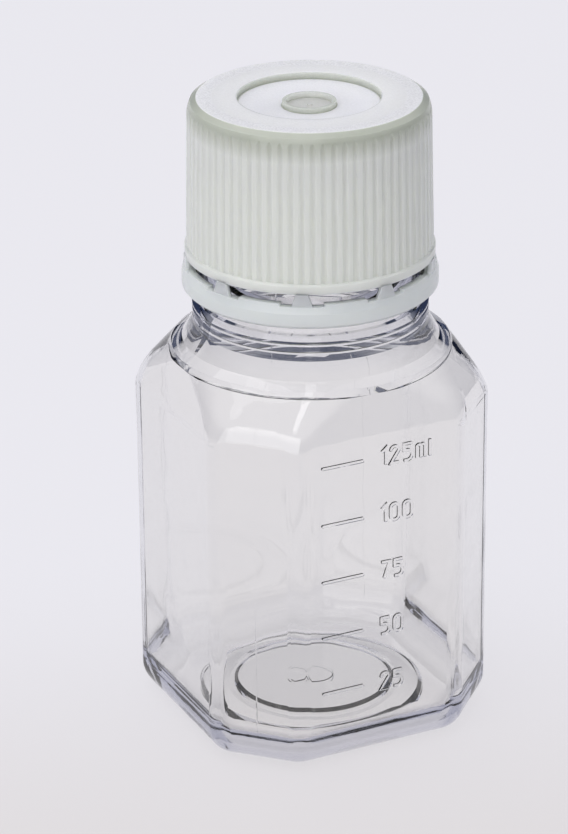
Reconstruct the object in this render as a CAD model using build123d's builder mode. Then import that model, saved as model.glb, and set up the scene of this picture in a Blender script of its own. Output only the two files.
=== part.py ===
"""Square laboratory bottle of 125 ml with a ribbed screw cap and its tamper band.

The bottle is one blown piece of clear polyester: an eight-sided body, a stepped round
shoulder, and a neck with a carrying ring, a retaining bead and a thread. The cap and its
tamper band are moulded in natural polyethylene, and are joined by nine thin bridges that
part when the cap is first turned.

Frame: +Z up, origin at the middle of the base on the surface that the bottle stands on.
The face with the filling scale looks along -Y. All lengths are in millimetres.
"""
from build123d import *
import os
from math import acos, atan2, cos, hypot, radians, sin, sqrt

# Body, an upright square with its corners cut off
body_width = 53.9
corner_leg = 11.3
edge_radius = 3.9
body_wall = 1.0
edge_fill = 2.0
heel_fill = 2.2
wall_height = 60.0
heel_radius = 5.4
heel_edge_radius = 2.6

# Shoulder, drawn in from the eight-sided body to a round top, then two cones up to the ring
shoulder_height = 9.4
brow_radius = 7.5
ledge_inset = 2.7
ledge_height = 0.1
lower_cone_height = 1.1
upper_cone_height = 2.9
throat_gap = 0.6

# Base, pushed up in the middle
push_up_radius = 19.8
push_up_height = 1.8
push_up_lip_width = 0.9
push_up_lip_height = 0.8
disc_radius = 13.6
disc_ledge_width = 1.6
disc_ledge_height = 0.6
gate_mark_radius = 3.6
gate_mark_depth = 0.12
base_wall = 2.0

# Neck, measured up from the top of its ring
neck_radius = 18.0
neck_wall = 1.8
collar_reach = 0.7
neck_height = 34.1
rim_round = 0.5
ring_reach = 2.5
ring_height = 4.3
ring_bevel = 0.8
ring_grooves = 2
ring_groove_depth = 0.2
ring_groove_width = 0.5
bead_reach = 1.75
bead_rise = 4.2
bead_height = 0.7
bead_slope_height = 1.2
bore_flare = 2.4

# Thread, one right-hand start, measured down from the neck's rim
thread_lead = 4.2
thread_turns = 2.25
thread_depth = 1.05
thread_root_width = 1.8
thread_crest_width = 0.9
thread_drop = 14.4
thread_clearance = 0.25
thread_seat = 0.3

# Filling scale, raised on the front face
scale_marks = ("25", "50", "75", "100", "125ml")
scale_first = 14.75
scale_pitch = 10.68
scale_height = 0.4
scale_stroke = 0.5
scale_seat = 0.2
tick_left = -11.5
tick_length = 8.0
text_left = -0.1
digit_height = 3.05
digit_width = 1.55
digit_gap = 0.95

# Cap
cap_panel = 1.7
cap_wall = 1.53
cap_corner_width = 0.53
cap_bevel_width = 1.1
cap_bevel_height = 0.7
cap_corner_drop = 3.0
skirt_taper = 0.47
flange_reach = 0.3
flange_height = 1.35
flange_bevel = 0.35
rib_count = 72
rib_depth = 0.27
rib_land = 0.7
recess_radius = 12.3
recess_depth = 1.15
recess_dish = 0.55
gate_ring_radius = 4.62
gate_ring_wall = 0.68
gate_ring_height = 0.9
gate_nub_radius = 0.45
gate_nub_height = 0.25
centre_thickness = 1.4
seal_gap = 0.1
plug_depth = 2.2
plug_wall = 0.9
plug_clearance = 0.05

# Tamper band
band_wall = 1.8
band_top_inset = 0.45
band_rise = 2.1
band_height = 4.35
band_bevel_height = 1.65
band_round = 0.6
band_clearance = 0.65
band_gap = 1.75
bridge_count = 9
notch_angle = 20.0
notch_depth = 0.45
bridge_foot = 3.6
bridge_head = 2.05
bridge_thickness = 0.8
bridge_seat = 0.3
bridge_clearance = 0.02
lug_angle = 15.0
lug_clearance = 0.45
lug_height = 1.1
lug_drop = 0.35
lug_seat = 0.3

# How far a cutting shape reaches past what it cuts
cut_margin = 1.0

# How many steps a rounded edge of the body is drawn in
round_steps = 5
shoulder_steps = 7

# How round the shoulder's top is, where 1 leaves no straight sides, and how late it turns round
top_roundness = 0.97
rounding_delay = 1.4

# Values that follow from the sizes above
half_width = body_width / 2
bore_radius = neck_radius - neck_wall
collar_radius = neck_radius + collar_reach
bead_radius = neck_radius + bead_reach
ring_radius = neck_radius + ring_reach
corner_reach = (body_width - corner_leg) / sqrt(2)
shoulder_top = wall_height + shoulder_height
ledge_radius = half_width - ledge_inset
cone_radius = (ledge_radius + ring_radius) / 2
cone_bottom = shoulder_top + lower_cone_height
ring_bottom = cone_bottom + upper_cone_height
ring_top = ring_bottom + ring_height
throat_height = shoulder_top - body_wall - throat_gap
neck_top = ring_top + neck_height
thread_bottom = neck_top - thread_drop
bead_bottom = ring_top + bead_rise
bead_flat_top = bead_bottom + bead_height
bead_top = bead_flat_top + bead_slope_height
disc_rim_radius = disc_radius + disc_ledge_width
disc_rim_height = push_up_height - disc_ledge_height
cap_inner_radius = neck_radius + thread_depth + thread_clearance
skirt_top_radius = cap_inner_radius + cap_wall
skirt_bottom_radius = skirt_top_radius + skirt_taper
flange_radius = skirt_bottom_radius + flange_reach
cap_rim_radius = skirt_top_radius - cap_corner_width - cap_bevel_width
ceiling = neck_top + seal_gap
cap_top = ceiling + cap_panel
recess_floor = cap_top - recess_depth - recess_dish
centre_ceiling = recess_floor - centre_thickness
plug_radius = bore_radius - plug_clearance
band_inner_radius = bead_radius + band_clearance
band_radius = band_inner_radius + band_wall
band_top_radius = band_radius - band_top_inset
band_bottom = ring_top + band_rise
band_top = band_bottom + band_height
notch_floor = band_top - notch_depth
cap_bottom = band_top + band_gap
ribs_bottom = cap_bottom + flange_height + flange_bevel
lug_inner_radius = collar_radius + lug_clearance
lug_outer_radius = band_inner_radius + lug_seat
lug_bottom = bead_bottom - lug_drop - lug_height


def body_section(reach, diagonal, radius, height):
    """Draw the body's outline, by how far its sides and its cut corners stand from the axis."""
    with BuildSketch(Plane.XY.offset(height)) as section:
        Rectangle(2 * reach, 2 * reach)
        chamfer(section.vertices(), length=2 * reach - sqrt(2) * diagonal)
        fillet(section.vertices(), radius=radius)
    return section.sketch


def brow_reach(reach, inset, height):
    """How far a side of reach stands from the axis on the shoulder: round, then straight to the top."""
    round_radius = brow_radius - inset
    centre = reach - brow_radius
    top_radius = ledge_radius - inset
    across = top_radius - centre
    distance = hypot(across, shoulder_height)
    turn = atan2(shoulder_height, across) - acos(round_radius / distance)
    rise = height - wall_height
    if rise < round_radius * sin(turn):
        return centre + sqrt(round_radius**2 - rise**2)
    left = (shoulder_height - rise) / (shoulder_height - round_radius * sin(turn))
    return top_radius + (centre + round_radius * cos(turn) - top_radius) * left


def body_block(inset, floor, more_heel, more_edge):
    """The body up to its round top, drawn in by inset, with its heel and edges rounder by the rest."""
    heel = heel_radius - inset + more_heel
    upright = floor + heel
    foot = []
    for n in range(round_steps + 1):
        angle = radians(90 * n / round_steps)
        back = heel * (1 - sin(angle))
        radius = edge_radius - (edge_radius - heel_edge_radius) * back / heel - inset + more_edge
        height = floor + heel * (1 - cos(angle))
        foot.append(body_section(half_width - inset - back, corner_reach - inset - back, radius, height))
    brow = []
    for n in range(shoulder_steps + 1):
        share = n / shoulder_steps
        height = wall_height + shoulder_height * share
        reach = brow_reach(half_width, inset, height)
        diagonal = brow_reach(corner_reach, inset, height)
        start = edge_radius - inset + more_edge
        radius = start + (top_roundness * (ledge_radius - inset) - start) * share**rounding_delay
        brow.append(body_section(reach, diagonal, radius, height))
    with BuildPart() as block:
        loft(foot)
        extrude(foot[-1], amount=wall_height - upright)
        loft(brow)
    return block.part


def ring_side():
    """Points up the carrying ring's side, in and out of its shallow grooves."""
    points = [(-ring_radius, ring_bottom)]
    for n in range(1, ring_grooves + 1):
        middle = ring_bottom + n * ring_height / (ring_grooves + 1)
        points.append((-ring_radius, middle - ring_groove_width / 2))
        points.append((ring_groove_depth - ring_radius, middle))
        points.append((-ring_radius, middle + ring_groove_width / 2))
    points.append((-ring_radius, ring_top - ring_bevel))
    points.append((ring_bevel - ring_radius, ring_top))
    return points


def neck_outside():
    """Half section of the shoulder's two cones and the neck, from the axis round to the rim."""
    Polyline(
        (0, neck_top),
        (0, shoulder_top - ledge_height),
        (-ledge_radius, shoulder_top - ledge_height),
        (-ledge_radius, shoulder_top),
        (-cone_radius, cone_bottom),
        *ring_side(),
        (-collar_radius, ring_top),
        (-collar_radius, bead_bottom),
        (-bead_radius, bead_bottom),
        (-bead_radius, bead_flat_top),
        (-neck_radius, bead_top),
        (-neck_radius, neck_top),
        (0, neck_top),
    )


def neck_inside():
    """Half section of the throat and the bore, from the axis round to the open mouth."""
    mouth = neck_top + cut_margin
    Polyline(
        (0, mouth),
        (0, throat_height),
        (-brow_reach(half_width, body_wall, throat_height), throat_height),
        (-bore_radius - bore_flare, ring_bottom - bore_flare / 2),
        (-bore_radius, ring_bottom + bore_flare),
        (-bore_radius, mouth),
        (0, mouth),
    )


def push_up(base):
    """The stepped dish that the middle of the base is pushed up by, above height base."""
    with BuildPart() as dish:
        with BuildSketch(Plane.XZ):
            with BuildLine():
                Polyline(
                    (0, base),
                    (push_up_radius, base),
                    (push_up_radius - push_up_lip_width, base + push_up_lip_height),
                    (disc_rim_radius, base + disc_rim_height),
                    (disc_radius + disc_ledge_height, base + disc_rim_height),
                    (disc_radius, base + push_up_height),
                    (gate_mark_radius, base + push_up_height),
                    (gate_mark_radius - gate_mark_depth, base + push_up_height + gate_mark_depth),
                    (0, base + push_up_height + gate_mark_depth),
                    close=True,
                )
            make_face()
        revolve(axis=Axis.Z)
    return dish.part


def thread_ridge(root_radius, outward, bottom):
    """One helical ridge on a wall of root_radius; outward is 1 on a neck and -1 in a cap."""
    with BuildPart() as ridge:
        with BuildLine() as route:
            Helix(thread_lead, thread_turns * thread_lead, root_radius, center=(0, 0, bottom))
        start = Plane(origin=route.line @ 0, x_dir=(outward, 0, 0), z_dir=route.line % 0)
        with BuildSketch(start):
            Polygon(
                (-thread_seat, -thread_root_width / 2),
                (thread_depth, -thread_crest_width / 2),
                (thread_depth, thread_crest_width / 2),
                (-thread_seat, thread_root_width / 2),
                align=None,
            )
        sweep(is_frenet=True)
    return ridge.part


def draw_one(left):
    """A one: a short flag and an upright stroke."""
    top = digit_height / 2
    stem = left + digit_width / 2
    Polyline((left, top * 0.55), (stem, top), (stem, -top))


def draw_two(left):
    """A two: a round head, a slanting stroke and a foot."""
    radius = digit_width / 2
    top = digit_height / 2
    ThreePointArc((left, top - radius), (left + radius, top), (left + digit_width, top - radius))
    Polyline((left + digit_width, top - radius), (left, -top), (left + digit_width, -top))


def draw_five(left):
    """A five: a bar, a short upright and an open bowl."""
    radius = digit_width / 2
    top = digit_height / 2
    bowl = radius * 0.45
    Polyline((left + digit_width, top), (left, top), (left, bowl), (left + radius, bowl))
    ThreePointArc((left + radius, bowl), (left + digit_width, (bowl - top) / 2), (left + radius, -top))
    Line((left + radius, -top), (left, -top))


def draw_seven(left):
    """A seven: a bar and a slanting stroke."""
    top = digit_height / 2
    Polyline((left, top), (left + digit_width, top), (left + digit_width / 3, -top))


def draw_zero(left):
    """A nought: two half rounds joined by upright strokes."""
    radius = digit_width / 2
    shoulder = digit_height / 2 - radius
    right = left + digit_width
    ThreePointArc((left, shoulder), (left + radius, digit_height / 2), (right, shoulder))
    Line((right, shoulder), (right, -shoulder))
    ThreePointArc((right, -shoulder), (left + radius, -digit_height / 2), (left, -shoulder))
    Line((left, -shoulder), (left, shoulder))


def draw_m(left):
    """A small m: three uprights under two arches."""
    radius = digit_width / 4
    foot = -digit_height / 2
    spring = digit_height / 6
    Line((left, foot), (left, spring + radius))
    for start in (left, left + 2 * radius):
        ThreePointArc((start, spring), (start + radius, spring + radius), (start + 2 * radius, spring))
        Line((start + 2 * radius, spring), (start + 2 * radius, foot))


def draw_l(left):
    """A small l: one upright stroke."""
    Line((left, -digit_height / 2), (left, digit_height / 2))


# Each figure's strokes, and how many digit widths it takes
GLYPHS = {
    "0": (draw_zero, 1),
    "1": (draw_one, 0.5),
    "2": (draw_two, 1),
    "5": (draw_five, 1),
    "7": (draw_seven, 1),
    "m": (draw_m, 1),
    "l": (draw_l, 0),
}


def scale_mark(text, height):
    """One raised tick with its figures beside it, at a height on the front face."""
    face = Plane(origin=(0, scale_seat - half_width, height), x_dir=(1, 0, 0), z_dir=(0, -1, 0))
    with BuildPart() as mark:
        with BuildSketch(face):
            with Locations((tick_left + tick_length / 2, 0)):
                SlotCenterToCenter(tick_length - scale_stroke, scale_stroke)
            left = text_left
            for letter in text:
                draw, widths = GLYPHS[letter]
                with BuildLine():
                    draw(left)
                trace(line_width=scale_stroke)
                left += widths * digit_width + digit_gap
        extrude(amount=scale_seat + scale_height)
    return mark.part


def cap_profile():
    """Half section of the cap without its ribs and thread, from the axis round."""
    corner_height = cap_corner_drop - cap_bevel_height
    corner_radius = (cap_corner_width**2 + corner_height**2) / (2 * cap_corner_width)
    with BuildSketch(Plane.XZ) as section:
        with BuildLine():
            Polyline(
                (0, recess_floor),
                (gate_ring_radius - gate_ring_wall, recess_floor),
                (gate_ring_radius - gate_ring_wall, recess_floor + gate_ring_height),
                (gate_ring_radius, recess_floor + gate_ring_height),
                (gate_ring_radius, recess_floor),
                (recess_radius, cap_top - recess_depth),
                (recess_radius, cap_top),
                (cap_rim_radius, cap_top),
                (cap_rim_radius + cap_bevel_width, cap_top - cap_bevel_height),
            )
            RadiusArc(
                (cap_rim_radius + cap_bevel_width, cap_top - cap_bevel_height),
                (skirt_top_radius, cap_top - cap_corner_drop),
                corner_radius,
            )
            Polyline(
                (skirt_top_radius, cap_top - cap_corner_drop),
                (skirt_bottom_radius, ribs_bottom),
                (flange_radius, cap_bottom + flange_height),
                (flange_radius, cap_bottom),
                (cap_inner_radius, cap_bottom),
                (cap_inner_radius, ceiling),
                (plug_radius, ceiling),
                (plug_radius, ceiling - plug_depth),
                (plug_radius - plug_wall, ceiling - plug_depth),
                (plug_radius - plug_wall, centre_ceiling),
                (0, centre_ceiling),
                (0, recess_floor),
            )
        make_face()
    return section.sketch


def rib_scallop():
    """One upright scallop, cut between two of the cap's ribs."""
    with BuildPart() as scallop:
        for height, radius in ((ribs_bottom, skirt_bottom_radius), (cap_top, skirt_top_radius)):
            width = radians(360 / rib_count) * radius - rib_land
            round_radius = (width**2 / 4 + rib_depth**2) / (2 * rib_depth)
            with BuildSketch(Plane.XY.offset(height)):
                with Locations((radius + round_radius - rib_depth, 0)):
                    Circle(round_radius)
        loft()
    return scallop.part


def band_profile():
    """Half section of the tamper band without its notches, bridges and lugs."""
    with BuildSketch(Plane.XZ) as section:
        with BuildLine():
            Polyline(
                (band_inner_radius, band_bottom),
                (band_radius - band_round, band_bottom),
                (band_radius, band_bottom + band_round),
                (band_radius, band_top - band_bevel_height),
                (band_top_radius, band_top),
                (band_inner_radius, band_top),
                close=True,
            )
        make_face()
    return section.sketch


def ring_sector(inner, outer, angle, bottom, height):
    """A piece of a ring, centred on the +X direction."""
    with BuildPart() as sector:
        with BuildSketch(Plane.XZ.rotated((0, 0, -angle / 2))):
            with Locations(((inner + outer) / 2, bottom + height / 2)):
                Rectangle(outer - inner, height)
        revolve(axis=Axis.Z, revolution_arc=angle)
    return sector.part


def bridge():
    """One thin bridge on +X, wide at the band and narrow at the cap."""
    inner = band_top_radius - bridge_thickness
    rise = cap_bottom - bridge_clearance - notch_floor
    with BuildPart() as web:
        with BuildSketch(Plane.YZ.offset(inner)):
            with Locations((0, notch_floor - bridge_seat)):
                Polygon(
                    (-bridge_foot / 2, 0),
                    (bridge_foot / 2, 0),
                    (bridge_foot / 2, bridge_seat),
                    (bridge_head / 2, bridge_seat + rise),
                    (-bridge_head / 2, bridge_seat + rise),
                    (-bridge_foot / 2, bridge_seat),
                    align=None,
                )
        extrude(amount=bridge_thickness)
    return web.part


# The bottle, one blown piece
body_outside = body_block(0, 0, 0, 0)
body_inside = body_block(body_wall, base_wall, heel_fill, edge_fill)
base_dish = push_up(0)
floor_dish = push_up(base_wall)
neck_thread = thread_ridge(neck_radius, 1, thread_bottom)
scale = [scale_mark(text, scale_first + n * scale_pitch) for n, text in enumerate(scale_marks)]

with BuildPart() as cavity:
    add(body_inside)
    with BuildSketch(Plane.XY.offset(shoulder_top)):
        Circle(ledge_radius)
    extrude(amount=-body_wall - throat_gap, mode=Mode.SUBTRACT)
    with BuildSketch(Plane.XZ):
        with BuildLine():
            neck_inside()
        make_face()
    revolve(axis=Axis.Z)
    add(floor_dish, mode=Mode.SUBTRACT)

with BuildPart() as bottle:
    add(body_outside)
    add(base_dish, mode=Mode.SUBTRACT)
    with BuildSketch(Plane.XZ):
        with BuildLine():
            neck_outside()
        make_face()
    revolve(axis=Axis.Z)
    add(neck_thread)
    add(cavity.part, mode=Mode.SUBTRACT)
    rim = bottle.faces().sort_by(Axis.Z)[-1]
    fillet(rim.edges(), radius=rim_round)
    add(scale)

# The cap, moulded with its ribs, inner thread, plug seal and gate ring
cap_section = cap_profile()
scallop = rib_scallop()
cap_thread = thread_ridge(cap_inner_radius, -1, thread_bottom - thread_lead / 2)

with BuildPart() as cap:
    add(cap_section)
    revolve(axis=Axis.Z)
    with PolarLocations(0, rib_count):
        add(scallop, mode=Mode.SUBTRACT)
    add(cap_thread)
    with BuildSketch(Plane.XY.offset(recess_floor - gate_nub_height)):
        Circle(gate_nub_radius)
    extrude(amount=2 * gate_nub_height)

# The tamper band, with its notches, bridges to the cap and lugs under the neck bead
band_section = band_profile()
notch = ring_sector(
    band_inner_radius - cut_margin,
    band_radius + cut_margin,
    notch_angle,
    notch_floor,
    notch_depth + cut_margin,
)
lug = ring_sector(lug_inner_radius, lug_outer_radius, lug_angle, lug_bottom, lug_height)
web = bridge()

with BuildPart() as tamper_band:
    add(band_section)
    revolve(axis=Axis.Z)
    with PolarLocations(0, bridge_count):
        add(notch, mode=Mode.SUBTRACT)
    with PolarLocations(0, bridge_count):
        add(web)
    with PolarLocations(0, bridge_count, start_angle=180 / bridge_count):
        add(lug)

os.makedirs("parts", exist_ok=True)
bottle.part.label = "bottle"
export_step(bottle.part, "parts/bottle.step")
cap.part.label = "cap"
export_step(cap.part, "parts/cap.step")
tamper_band.part.label = "tamper_band"
export_step(tamper_band.part, "parts/tamper_band.step")
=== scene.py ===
import math

import bpy
from bpy.props import FloatProperty, FloatVectorProperty, PointerProperty
from mathutils import Matrix, Vector


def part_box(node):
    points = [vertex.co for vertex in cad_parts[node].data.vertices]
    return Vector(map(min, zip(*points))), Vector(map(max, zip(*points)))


bl_info = {
    "name": "Laboratory bottle looks",
    "version": (1, 0, 0),
    "blender": (4, 5, 0),
    "location": "View3D > Sidebar > Bottle",
    "description": "Finishes the clear bottle, its cap and its tamper band, and sets the studio",
    "category": "Object",
}

MM = 0.001
SENSOR_WIDTH = 36.0  # in millimetres, as a camera's sensor is given

# A Mix node has sockets of several types under one name, so its colour ones go by their place.
COLOUR_A, COLOUR_B, MIXED_COLOUR = 6, 7, 2

# Where one colour of the cap gives way to the next, painted shade and painted light among them, as
# radii from its axis.
GATE_TO_RING = (3.9 * MM, 4.0 * MM)
RING_TO_RECESS = (4.7 * MM, 4.9 * MM)
RECESS_TO_WALL = (11.9 * MM, 12.25 * MM)
PANEL_START = 12.5 * MM
PANEL_TO_FROST = 0.3 * MM
FROST_EDGE = 0.1 * MM
FROST_END = 18.9 * MM
TOP_TO_SIDE = (19.15 * MM, 19.3 * MM)

# The same down the cap, as depths below its top. TOP_DEPTH takes in the recess's floor.
TOP_DEPTH = (1.9 * MM, 2.0 * MM)
# Painted shade greys the rounded corner under the top and fades into the skirt between these
# depths.
CORNER_SHADE_TO_SKIRT = (1.6 * MM, 5.0 * MM)
SKIRT_TO_BAND = 0.2 * MM

# The floor pales between these distances from the bottle's axis, where less than 0 is in front:
# painted shade darkens the floor in front of the bottle.
FLOOR_BLEND = (-100 * MM, 60 * MM)

# The air's linear colours, and the share of the way up where one turns into the other.
HORIZON_COLOUR = (0.04, 0.055, 0.11)
OVERHEAD_COLOUR = (0.95, 0.95, 0.98)
AIR_BLEND = (0.3, 0.65)

# Each soft box: its name, place, aim, width and height in metres, and its power in watts.
LAMPS = (
    ("top_box", (-0.25, 0.15, 1.1), (0, 0, 0.06), 0.9, 0.9, 2.5),
    ("side_box", (-0.9, -0.85, 0.45), (0, 0, 0.08), 1.5, 1.1, 8.3),
    ("glint", (-0.3, -0.55, 0.95), (0, 0, 0.1), 0.1, 0.35, 0.2),
)

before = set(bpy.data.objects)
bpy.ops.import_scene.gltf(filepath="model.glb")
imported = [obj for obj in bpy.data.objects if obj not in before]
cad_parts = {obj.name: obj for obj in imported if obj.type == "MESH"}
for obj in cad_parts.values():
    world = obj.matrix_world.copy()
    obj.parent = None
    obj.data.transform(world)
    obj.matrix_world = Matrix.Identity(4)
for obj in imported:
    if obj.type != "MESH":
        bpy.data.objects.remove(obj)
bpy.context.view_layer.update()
bottle_low, bottle_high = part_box("bottle")
cap_low, cap_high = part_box("cap")
band_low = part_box("tamper_band")[0]
cap_radius = cap_high.x
cap_height = cap_high.z - cap_low.z


def linear(hex_colour):
    """A colour written as sRGB hex, as the linear values that shaders use."""
    channels = [int(hex_colour[i : i + 2], 16) / 255 for i in (0, 2, 4)]
    return [c / 12.92 if c <= 0.04045 else ((c + 0.055) / 1.055) ** 2.4 for c in channels]


def add_node(tree, kind, settings=None, inputs=None):
    """Add one node, set its properties, and give its inputs a value or a link."""
    node = tree.nodes.new(kind)
    for name, value in (settings or {}).items():
        setattr(node, name, value)
    for name, value in (inputs or {}).items():
        if isinstance(value, bpy.types.NodeSocket):
            tree.links.new(value, node.inputs[name])
        else:
            node.inputs[name].default_value = value
    return node


def colour_zones(tree, value, reach, stops):
    """Colours along a length from 0 to reach, given as places in metres and the colour at each."""
    share = add_node(tree, "ShaderNodeMath", {"operation": "DIVIDE"}, {0: value, 1: reach})
    ramp = add_node(tree, "ShaderNodeValToRGB", None, {"Fac": share.outputs[0]})
    steps = ramp.color_ramp.elements
    while len(steps) < len(stops):
        steps.new(1.0)
    for step, (place, colour) in zip(steps, stops):
        step.position = place / reach
        step.color = (*colour, 1.0)
    return ramp


def new_material(name):
    """An empty node material with its output node."""
    material = bpy.data.materials.new(name)
    material.use_nodes = True
    material.node_tree.nodes.clear()
    output = material.node_tree.nodes.new("ShaderNodeOutputMaterial")
    return material, material.node_tree, output


def colour_property(name, description, hex_colour):
    """A colour setting whose default is written as sRGB hex."""
    return FloatVectorProperty(
        name=name,
        description=description,
        subtype="COLOR",
        size=3,
        min=0.0,
        max=1.0,
        default=linear(hex_colour),
    )


def length_property(name, description, metres):
    """A length setting."""
    return FloatProperty(
        name=name, description=description, default=metres, unit="LENGTH", precision=5
    )


def angle_property(name, description, degrees):
    """An angle setting whose default is written in degrees."""
    return FloatProperty(
        name=name, description=description, default=math.radians(degrees), unit="ROTATION"
    )


def number_property(name, description, number):
    """A setting without a unit."""
    return FloatProperty(name=name, description=description, default=number)


class ClearPolyesterSettings(bpy.types.PropertyGroup):
    """What the blown polyester of the bottle looks like."""

    tint: colour_property("Tint", "Colour that each face of the wall gives to light", "FFFEFB")
    # Partly the plastic's own bluish tint seen edge on, partly painted shade: the tint and the
    # density below are deepened to darken the bottle's outlines.
    body_colour_and_shade: colour_property(
        "Body colour", "Colour of the plastic seen along the wall, edge on", "5F6EA4"
    )
    density: number_property("Density", "How strongly a metre of the plastic absorbs", 52.0)
    ior: number_property("IOR", "Refractive index of polyester", 1.57)
    wave_length: length_property(
        "Wave length", "Size of the soft waves in the inner wall", 11 * MM
    )
    wave_height: length_property(
        "Wave height", "Height of the soft waves in the inner wall", 0.14 * MM
    )
    calm_height: length_property("Calm height", "Height at which the waves are faintest", 4 * MM)
    free_height: length_property("Free height", "Height at which the waves are full", 14 * MM)
    calm_share: number_property("Calm share", "Share of the waves left where faintest", 0.15)
    seam_width: length_property("Seam width", "Width of the mould's parting line", 0.25 * MM)
    seam_height: length_property("Seam height", "Height of the mould's parting line", 0.035 * MM)
    seam_start: length_property(
        "Seam start", "Height on the heel where the parting line begins", 3.0 * MM
    )


class NaturalPolyethyleneSettings(bpy.types.PropertyGroup):
    """What the moulded polyethylene of the cap and its band looks like."""

    skirt: colour_property("Skirt", "Milky colour of the ribbed wall", "E2E7DA")
    # Painted shade: the corner where the wall rounds into the top is greyed to stand in for its
    # shade.
    corner_shade: colour_property("Corner", "Greyer colour where the wall meets the thick top", "AFB3A7")
    frosted: colour_property("Frosted ring", "Whiter colour of the coarse frosting", "E8E8E8")
    panel: colour_property("Panel", "Colour of the smoother ring inside the frosting", "E4E4E3")
    # Painted light: the recess's floor is paler, as where light shines through its thin plastic.
    recess: colour_property("Recess", "Colour of the recess's floor", "EFEFF2")
    # Painted shade: the walls of the recess and of the gate ring are greyed to stand in for their
    # shade.
    recess_wall_shade: colour_property("Recess wall", "Greyer colour of the recess's edge", "B0B4A9")
    gate: colour_property("Gate", "Grey colour inside the gate ring", "C2C3BE")
    band: colour_property("Band", "Bluish colour of the thin tamper band", "DCE4DE")
    ior: number_property("IOR", "Refractive index of polyethylene", 1.53)
    satin: number_property("Satin", "Roughness of the ribbed wall and the band", 0.24)
    matt: number_property("Matt", "Roughness of the cap's top", 0.55)
    scatter: length_property("Scatter", "How far light spreads inside the wall", 5.5 * MM)
    grain: length_property("Grain", "Size of the frosting on top of the cap", 0.3 * MM)
    grain_height: length_property("Grain height", "Depth of the frosting on top", 0.07 * MM)
    frost_inner: length_property(
        "Frosting's start", "Radius where the frosting turns coarse", 16.7 * MM
    )


class StudioSettings(bpy.types.PropertyGroup):
    """Floor, light and camera."""

    floor_colour: colour_property("Floor", "Colour of the floor behind the bottle", "EAE9EF")
    # Painted shade: the floor in front of the bottle is darker.
    floor_near_shaded: colour_property(
        "Floor in front", "Colour of the floor in front of the bottle", "DEDADB"
    )
    floor_glow: number_property("Floor glow", "Share of the floor that no shadow darkens", 0.86)
    # The painted shade on the floor fades out along this direction.
    floor_turn: angle_property("Floor turn", "Direction in which the floor pales", -25.774)
    floor_size: length_property("Floor size", "Half the width of the floor", 3.0)
    camera_distance: length_property("Camera distance", "From the camera to its aim", 0.64473)
    camera_azimuth: angle_property("Azimuth", "Camera's turn about the bottle", -25.774)
    camera_elevation: angle_property("Elevation", "Camera's height angle", 23.738)
    camera_roll: angle_property("Roll", "Camera's turn about its line of sight", -0.516)
    aim_height: length_property("Aim height", "Height that the camera looks at", 54.249 * MM)
    aim_side: length_property("Aim side", "How far to the right the camera looks", -4.748 * MM)
    lens: number_property("Lens", "Focal length in millimetres", 158.52)


def outside_mask(tree, place, middle):
    """1 on the shell's outer faces and 0 on its inner ones, by where the solid's normal points."""
    geometry = add_node(tree, "ShaderNodeNewGeometry")
    turn = add_node(
        tree,
        "ShaderNodeMath",
        {"operation": "MULTIPLY_ADD"},
        {0: geometry.outputs["Backfacing"], 1: -2.0, 2: 1.0},
    )
    normal = add_node(
        tree,
        "ShaderNodeVectorMath",
        {"operation": "SCALE"},
        {0: geometry.outputs["True Normal"], "Scale": turn.outputs[0]},
    )
    reach = add_node(
        tree, "ShaderNodeVectorMath", {"operation": "SUBTRACT"}, {0: place, 1: middle}
    )
    facing = add_node(
        tree,
        "ShaderNodeVectorMath",
        {"operation": "DOT_PRODUCT"},
        {0: normal.outputs[0], 1: reach.outputs[0]},
    )
    mask = add_node(
        tree,
        "ShaderNodeMath",
        {"operation": "GREATER_THAN"},
        {0: facing.outputs["Value"], 1: 0.0},
    )
    return mask.outputs[0]


def inner_waves(tree, place, height, outside, settings):
    """The normal with soft waves on the inner wall, where no mould touched the plastic."""
    waves = add_node(
        tree,
        "ShaderNodeTexNoise",
        None,
        {"Vector": place, "Scale": 1 / settings.wave_length, "Detail": 1.0, "Roughness": 0.4},
    )
    # The waves fade towards the bottle's floor.
    free = add_node(
        tree,
        "ShaderNodeMapRange",
        {"interpolation_type": "SMOOTHSTEP"},
        {
            "Value": height,
            "From Min": settings.calm_height,
            "From Max": settings.free_height,
            "To Min": settings.calm_share,
            "To Max": 1.0,
        },
    )
    faded = add_node(
        tree,
        "ShaderNodeMath",
        {"operation": "MULTIPLY"},
        {0: waves.outputs["Fac"], 1: free.outputs["Result"]},
    )
    inside = add_node(tree, "ShaderNodeMath", {"operation": "SUBTRACT"}, {0: 1.0, 1: outside})
    wave = add_node(
        tree,
        "ShaderNodeMath",
        {"operation": "MULTIPLY"},
        {0: faded.outputs[0], 1: inside.outputs[0]},
    )
    bump = add_node(
        tree,
        "ShaderNodeBump",
        None,
        {"Strength": 1.0, "Distance": settings.wave_height, "Height": wave.outputs[0]},
    )
    return bump.outputs[0]


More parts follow.
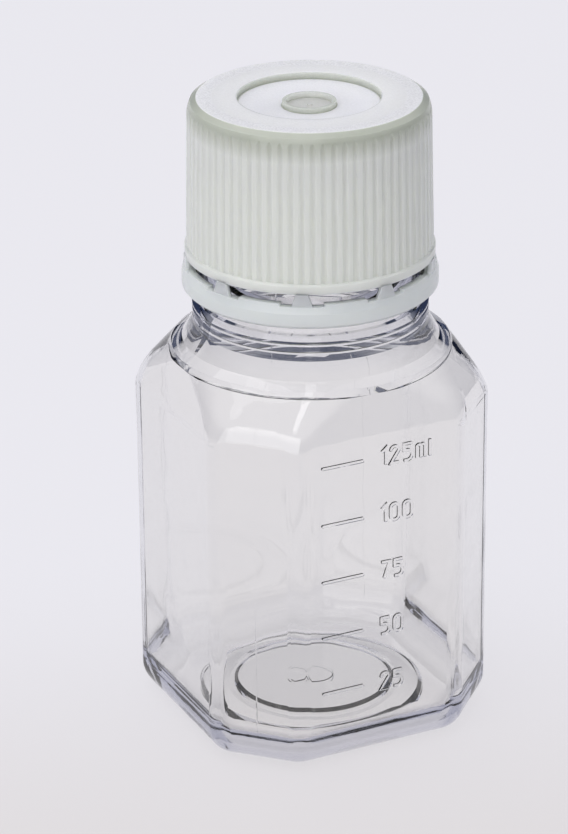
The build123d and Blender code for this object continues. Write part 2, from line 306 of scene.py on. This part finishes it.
def mould_seam(tree, place, height, outside, normal, settings):
    """The normal with a fine ridge on the diagonal where the mould parts, through two corners."""
    across = add_node(
        tree,
        "ShaderNodeVectorMath",
        {"operation": "DOT_PRODUCT"},
        {0: place, 1: (math.sqrt(0.5), -math.sqrt(0.5), 0.0)},
    )
    distance = add_node(
        tree, "ShaderNodeMath", {"operation": "ABSOLUTE"}, {0: across.outputs["Value"]}
    )
    ridge = add_node(
        tree,
        "ShaderNodeMapRange",
        {"interpolation_type": "SMOOTHSTEP"},
        {
            "Value": distance.outputs[0],
            "From Min": 0.0,
            "From Max": settings.seam_width / 2,
            "To Min": 1.0,
            "To Max": 0.0,
        },
    )
    above = add_node(
        tree, "ShaderNodeMath", {"operation": "GREATER_THAN"}, {0: height, 1: settings.seam_start}
    )
    outer = add_node(
        tree, "ShaderNodeMath", {"operation": "MULTIPLY"}, {0: above.outputs[0], 1: outside}
    )
    seam = add_node(
        tree,
        "ShaderNodeMath",
        {"operation": "MULTIPLY"},
        {0: ridge.outputs["Result"], 1: outer.outputs[0]},
    )
    bump = add_node(
        tree,
        "ShaderNodeBump",
        None,
        {
            "Strength": 1.0,
            "Distance": settings.seam_height,
            "Height": seam.outputs[0],
            "Normal": normal,
        },
    )
    return bump.outputs[0]


def clear_polyester(settings):
    """Clear PET, blown in a polished mould.

    The mould leaves the outside glassy, and the air leaves the inside softly wavy.
    """
    material, tree, output = new_material("clear_blown_polyester")
    place = add_node(tree, "ShaderNodeTexCoord").outputs["Object"]
    height = add_node(tree, "ShaderNodeSeparateXYZ", None, {0: place}).outputs["Z"]
    outside = outside_mask(tree, place, (0, 0, (bottle_low.z + bottle_high.z) / 2))
    wavy = inner_waves(tree, place, height, outside, settings)
    shader = add_node(
        tree,
        "ShaderNodeBsdfPrincipled",
        None,
        {
            "Base Color": (*settings.tint, 1.0),
            "Roughness": 0.0,
            "IOR": settings.ior,
            "Transmission Weight": 1.0,
            "Normal": mould_seam(tree, place, height, outside, wavy, settings),
        },
    )
    tree.links.new(shader.outputs[0], output.inputs["Surface"])
    # Partly painted shade: this absorption darkens the outlines more than the plastic's own tint
    # would.
    absorb = add_node(
        tree,
        "ShaderNodeVolumeAbsorption",
        None,
        {"Color": (*settings.body_colour_and_shade, 1.0), "Density": settings.density},
    )
    tree.links.new(absorb.outputs[0], output.inputs["Volume"])
    return material


def place_on_cap(tree, place):
    """A point's distance from the cap's axis, and its height."""
    parts = add_node(tree, "ShaderNodeSeparateXYZ", None, {0: place})
    flat = add_node(
        tree,
        "ShaderNodeCombineXYZ",
        None,
        {"X": parts.outputs["X"], "Y": parts.outputs["Y"], "Z": 0.0},
    )
    radius = add_node(tree, "ShaderNodeVectorMath", {"operation": "LENGTH"}, {0: flat.outputs[0]})
    return radius.outputs["Value"], parts.outputs["Z"]


def side_and_top(tree, radius, height):
    """Two masks: 1 on the cap's wall and band, and 1 on its top face."""
    side = add_node(
        tree,
        "ShaderNodeMapRange",
        None,
        {"Value": radius, "From Min": TOP_TO_SIDE[0], "From Max": TOP_TO_SIDE[1]},
    )
    near_top = add_node(
        tree,
        "ShaderNodeMapRange",
        None,
        {
            "Value": height,
            "From Min": cap_high.z - TOP_DEPTH[1],
            "From Max": cap_high.z - TOP_DEPTH[0],
        },
    )
    within_rim = add_node(
        tree,
        "ShaderNodeMath",
        {"operation": "SUBTRACT"},
        {0: near_top.outputs["Result"], 1: side.outputs["Result"]},
    )
    top = add_node(
        tree, "ShaderNodeMath", {"operation": "MAXIMUM"}, {0: within_rim.outputs[0], 1: 0.0}
    )
    return side.outputs["Result"], top.outputs[0]


def frosting(tree, place, radius, top, settings):
    """The frosting's grain, and its strength: full in the outer ring and weaker inside it."""
    grain = add_node(
        tree,
        "ShaderNodeTexNoise",
        None,
        {"Vector": place, "Scale": 1 / settings.grain, "Detail": 2.0, "Roughness": 0.6},
    )
    coarse = add_node(
        tree,
        "ShaderNodeMapRange",
        None,
        {
            "Value": radius,
            "From Min": settings.frost_inner - FROST_EDGE,
            "From Max": settings.frost_inner + FROST_EDGE,
            "To Min": 0.35,
            "To Max": 1.0,
        },
    )
    frost = add_node(
        tree, "ShaderNodeMath", {"operation": "MULTIPLY"}, {0: coarse.outputs["Result"], 1: top}
    )
    return grain.outputs["Fac"], frost.outputs[0]


def cap_colour(tree, radius, height, side, settings):
    """The cap's colour: painted shade greys the rounded corner under the top and the walls of the
    recess and gate ring, painted light pales the recess's floor, and frosting reads whiter.
    """
    across = colour_zones(
        tree,
        radius,
        cap_radius,
        (
            (0.0, settings.gate),
            (GATE_TO_RING[0], settings.gate),
            # Painted shade greys the gate ring's wall.
            (GATE_TO_RING[1], settings.recess_wall_shade),
            (RING_TO_RECESS[0], settings.recess_wall_shade),
            # Painted light pales the recess's floor.
            (RING_TO_RECESS[1], settings.recess),
            (RECESS_TO_WALL[0], settings.recess),
            # Painted shade greys the recess's outer edge.
            (RECESS_TO_WALL[1], settings.recess_wall_shade),
            (PANEL_START, settings.panel),
            (settings.frost_inner - PANEL_TO_FROST, settings.panel),
            (settings.frost_inner, settings.frosted),
            (FROST_END, settings.frosted),
        ),
    )
    depth = add_node(tree, "ShaderNodeMath", {"operation": "SUBTRACT"}, {0: cap_high.z, 1: height})
    down = colour_zones(
        tree,
        depth.outputs[0],
        cap_high.z - band_low.z,
        (
            # Painted shade on the rounded corner under the top.
            (0.0, settings.corner_shade),
            (CORNER_SHADE_TO_SKIRT[0], settings.corner_shade),
            (CORNER_SHADE_TO_SKIRT[1], settings.skirt),
            (cap_height - SKIRT_TO_BAND, settings.skirt),
            (cap_height, settings.band),
        ),
    )
    colour = add_node(
        tree,
        "ShaderNodeMix",
        {"data_type": "RGBA"},
        {
            "Factor": side,
            COLOUR_A: across.outputs["Color"],
            COLOUR_B: down.outputs["Color"],
        },
    )
    return colour.outputs[MIXED_COLOUR]


def speckled(tree, colour, grain, frost):
    """The colour with the frosting's uneven specks, drawn as coarse as they need to be to show."""
    specks = add_node(
        tree,
        "ShaderNodeMapRange",
        None,
        {"Value": grain, "From Min": 0.35, "From Max": 0.65, "To Min": 0.86, "To Max": 1.06},
    )
    uneven = add_node(
        tree,
        "ShaderNodeVectorMath",
        {"operation": "SCALE"},
        {0: colour, "Scale": specks.outputs["Result"]},
    )
    finish = add_node(
        tree,
        "ShaderNodeMix",
        {"data_type": "RGBA"},
        {"Factor": frost, COLOUR_A: colour, COLOUR_B: uneven.outputs[0]},
    )
    return finish.outputs[MIXED_COLOUR]


def natural_polyethylene(settings):
    """Unpigmented HDPE, injection moulded: milky, waxy, satin on the skirt and frosted on top."""
    material, tree, output = new_material("natural_moulded_polyethylene")
    place = add_node(tree, "ShaderNodeTexCoord").outputs["Object"]
    radius, height = place_on_cap(tree, place)
    side, top = side_and_top(tree, radius, height)
    grain, frost = frosting(tree, place, radius, top, settings)
    colour = cap_colour(tree, radius, height, side, settings)
    relief = add_node(tree, "ShaderNodeMath", {"operation": "MULTIPLY"}, {0: grain, 1: frost})
    bump = add_node(
        tree,
        "ShaderNodeBump",
        None,
        {"Strength": 0.6, "Distance": settings.grain_height, "Height": relief.outputs[0]},
    )
    gloss = add_node(
        tree,
        "ShaderNodeMapRange",
        None,
        {"Value": top, "To Min": settings.satin, "To Max": settings.matt},
    )
    shader = add_node(
        tree,
        "ShaderNodeBsdfPrincipled",
        None,
        {
            "Base Color": speckled(tree, colour, grain, frost),
            "Roughness": gloss.outputs["Result"],
            "IOR": settings.ior,
            "Subsurface Weight": 1.0,
            "Subsurface Radius": (1.0, 1.0, 0.9),
            "Subsurface Scale": settings.scatter,
            "Normal": bump.outputs[0],
        },
    )
    tree.links.new(shader.outputs[0], output.inputs["Surface"])
    return material


def dress(node_name, material):
    """Give a CAD node one material, leaving its mesh alone."""
    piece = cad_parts[node_name]
    piece.data.materials.clear()
    piece.data.materials.append(material)
    return piece


def paper_colour_and_shade(tree, settings):
    """The paper's colour, with painted shade making it darker in front of the bottle than behind
    it.
    """
    place = add_node(tree, "ShaderNodeTexCoord").outputs["Object"]
    turn = settings.floor_turn
    along = add_node(
        tree,
        "ShaderNodeVectorMath",
        {"operation": "DOT_PRODUCT"},
        {0: place, 1: (-math.sin(turn), math.cos(turn), 0.0)},
    )
    share = add_node(
        tree,
        "ShaderNodeMapRange",
        {"interpolation_type": "SMOOTHSTEP"},
        {
            "Value": along.outputs["Value"],
            "From Min": FLOOR_BLEND[0],
            "From Max": FLOOR_BLEND[1],
        },
    )
    colour = add_node(
        tree,
        "ShaderNodeMix",
        {"data_type": "RGBA"},
        {
            "Factor": share.outputs["Result"],
            COLOUR_A: (*settings.floor_near_shaded, 1.0),
            COLOUR_B: (*settings.floor_colour, 1.0),
        },
    )
    return colour.outputs[MIXED_COLOUR]


def seen_mask(tree):
    """1 where the floor is seen directly, in a reflection or through the bottle."""
    path = add_node(tree, "ShaderNodeLightPath")
    straight = add_node(
        tree,
        "ShaderNodeMath",
        {"operation": "MAXIMUM"},
        {0: path.outputs["Is Camera Ray"], 1: path.outputs["Is Glossy Ray"]},
    )
    seen = add_node(
        tree,
        "ShaderNodeMath",
        {"operation": "MAXIMUM"},
        {0: straight.outputs[0], 1: path.outputs["Is Transmission Ray"]},
    )
    return seen.outputs[0]


def pale_floor(settings):
    """Matt white paper that mostly shows its own colour and painted shade, and keeps a soft
    shadow.
    """
    material, tree, output = new_material("plain_pale_paper")
    colour = paper_colour_and_shade(tree, settings)
    paper = add_node(tree, "ShaderNodeBsdfDiffuse", None, {"Color": colour})
    glow = add_node(tree, "ShaderNodeEmission", None, {"Color": colour, "Strength": 1.0})
    share = add_node(
        tree,
        "ShaderNodeMath",
        {"operation": "MULTIPLY"},
        {0: seen_mask(tree), 1: settings.floor_glow},
    )
    shader = add_node(
        tree,
        "ShaderNodeMixShader",
        None,
        {0: share.outputs[0], 1: paper.outputs[0], 2: glow.outputs[0]},
    )
    tree.links.new(shader.outputs[0], output.inputs["Surface"])
    return material


def add_floor(settings):
    """A wide flat floor at the height the bottle stands on."""
    half = settings.floor_size
    corners = [(-half, -half, 0), (half, -half, 0), (half, half, 0), (-half, half, 0)]
    mesh = bpy.data.meshes.new("floor")
    mesh.from_pydata(corners, [], [(0, 1, 2, 3)])
    floor = bpy.data.objects.new("floor", mesh)
    bpy.context.scene.collection.objects.link(floor)
    floor.data.materials.append(pale_floor(settings))


def add_lamp(name, place, aim, width, height, power):
    """One rectangular soft box, aimed at a point."""
    light = bpy.data.lights.new(name, "AREA")
    light.shape = "RECTANGLE"
    light.size = width
    light.size_y = height
    light.energy = power
    lamp = bpy.data.objects.new(name, light)
    lamp.location = place
    lamp.rotation_euler = (Vector(aim) - Vector(place)).to_track_quat("-Z", "Y").to_euler()
    bpy.context.scene.collection.objects.link(lamp)
    return lamp


def add_world():
    """A pale dome overhead that darkens towards the horizon."""
    world = bpy.data.worlds.new("studio_air")
    bpy.context.scene.world = world
    world.use_nodes = True
    tree = world.node_tree
    tree.nodes.clear()
    output = tree.nodes.new("ShaderNodeOutputWorld")
    coords = add_node(tree, "ShaderNodeTexCoord")
    parts = add_node(tree, "ShaderNodeSeparateXYZ", None, {0: coords.outputs["Generated"]})
    level = add_node(
        tree,
        "ShaderNodeMapRange",
        {"interpolation_type": "SMOOTHSTEP"},
        {
            "Value": parts.outputs["Z"],
            "From Min": AIR_BLEND[0],
            "From Max": AIR_BLEND[1],
        },
    )
    colour = add_node(
        tree,
        "ShaderNodeMix",
        {"data_type": "RGBA"},
        {
            "Factor": level.outputs["Result"],
            COLOUR_A: (*HORIZON_COLOUR, 1.0),
            COLOUR_B: (*OVERHEAD_COLOUR, 1.0),
        },
    )
    background = add_node(
        tree,
        "ShaderNodeBackground",
        None,
        {"Color": colour.outputs[MIXED_COLOUR], "Strength": 1.0},
    )
    tree.links.new(background.outputs[0], output.inputs["Surface"])


def add_camera(settings):
    """A long-lens camera above and to the left of the scale's face."""
    turn, lift, roll = settings.camera_azimuth, settings.camera_elevation, settings.camera_roll
    back = Vector(
        (math.sin(turn) * math.cos(lift), -math.cos(turn) * math.cos(lift), math.sin(lift))
    )
    right = Vector((math.cos(turn), math.sin(turn), 0.0))
    up = back.cross(right)
    aim = Vector((0, 0, settings.aim_height)) + right * settings.aim_side
    turned_right = right * math.cos(roll) + up * math.sin(roll)
    turned_up = up * math.cos(roll) - right * math.sin(roll)
    data = bpy.data.cameras.new("camera")
    data.lens = settings.lens
    data.sensor_width = SENSOR_WIDTH
    camera = bpy.data.objects.new("camera", data)
    axes = Matrix((turned_right, turned_up, back)).transposed()
    camera.matrix_world = Matrix.Translation(aim + back * settings.camera_distance) @ axes.to_4x4()
    bpy.context.scene.collection.objects.link(camera)
    bpy.context.scene.camera = camera


class BOTTLE_OT_dress_bottle(bpy.types.Operator):
    """Finish the blown bottle in clear polyester"""

    bl_idname = "bottle.dress_bottle"
    bl_label = "Finish the bottle"

    def execute(self, context):
        dress("bottle", clear_polyester(context.scene.clear_polyester))
        return {"FINISHED"}


class BOTTLE_OT_dress_closure(bpy.types.Operator):
    """Finish the cap and its tamper band in natural polyethylene"""

    bl_idname = "bottle.dress_closure"
    bl_label = "Finish the cap and band"

    def execute(self, context):
        material = natural_polyethylene(context.scene.natural_polyethylene)
        dress("cap", material)
        dress("tamper_band", material)
        return {"FINISHED"}


class BOTTLE_OT_set_stage(bpy.types.Operator):
    """Set out the floor, the light and the camera"""

    bl_idname = "bottle.set_stage"
    bl_label = "Set the studio"

    def execute(self, context):
        settings = context.scene.studio
        context.scene.view_settings.view_transform = "Standard"
        add_floor(settings)
        add_world()
        for lamp in LAMPS:
            add_lamp(*lamp)
        add_camera(settings)
        return {"FINISHED"}


class BOTTLE_PT_looks(bpy.types.Panel):
    """The bottle's settings and steps"""

    bl_label = "Bottle looks"
    bl_space_type = "VIEW_3D"
    bl_region_type = "UI"
    bl_category = "Bottle"

    def draw(self, context):
        scene = context.scene
        steps = (
            (scene.clear_polyester, BOTTLE_OT_dress_bottle),
            (scene.natural_polyethylene, BOTTLE_OT_dress_closure),
            (scene.studio, BOTTLE_OT_set_stage),
        )
        for settings, operator in steps:
            box = self.layout.box()
            for name in settings.__annotations__:
                box.prop(settings, name)
            box.operator(operator.bl_idname)


CLASSES = (
    ClearPolyesterSettings,
    NaturalPolyethyleneSettings,
    StudioSettings,
    BOTTLE_OT_dress_bottle,
    BOTTLE_OT_dress_closure,
    BOTTLE_OT_set_stage,
    BOTTLE_PT_looks,
)


def register():
    """Register the classes, and give the scene their settings."""
    for cls in CLASSES:
        bpy.utils.register_class(cls)
    bpy.types.Scene.clear_polyester = PointerProperty(type=ClearPolyesterSettings)
    bpy.types.Scene.natural_polyethylene = PointerProperty(type=NaturalPolyethyleneSettings)
    bpy.types.Scene.studio = PointerProperty(type=StudioSettings)


def unregister():
    """Take away what register adds."""
    del bpy.types.Scene.studio
    del bpy.types.Scene.natural_polyethylene
    del bpy.types.Scene.clear_polyester
    for cls in reversed(CLASSES):
        bpy.utils.unregister_class(cls)


def main():
    """Run each step in order."""
    register()
    bpy.ops.bottle.dress_bottle()
    bpy.ops.bottle.dress_closure()
    bpy.ops.bottle.set_stage()


if __name__ == "__main__":
    main()
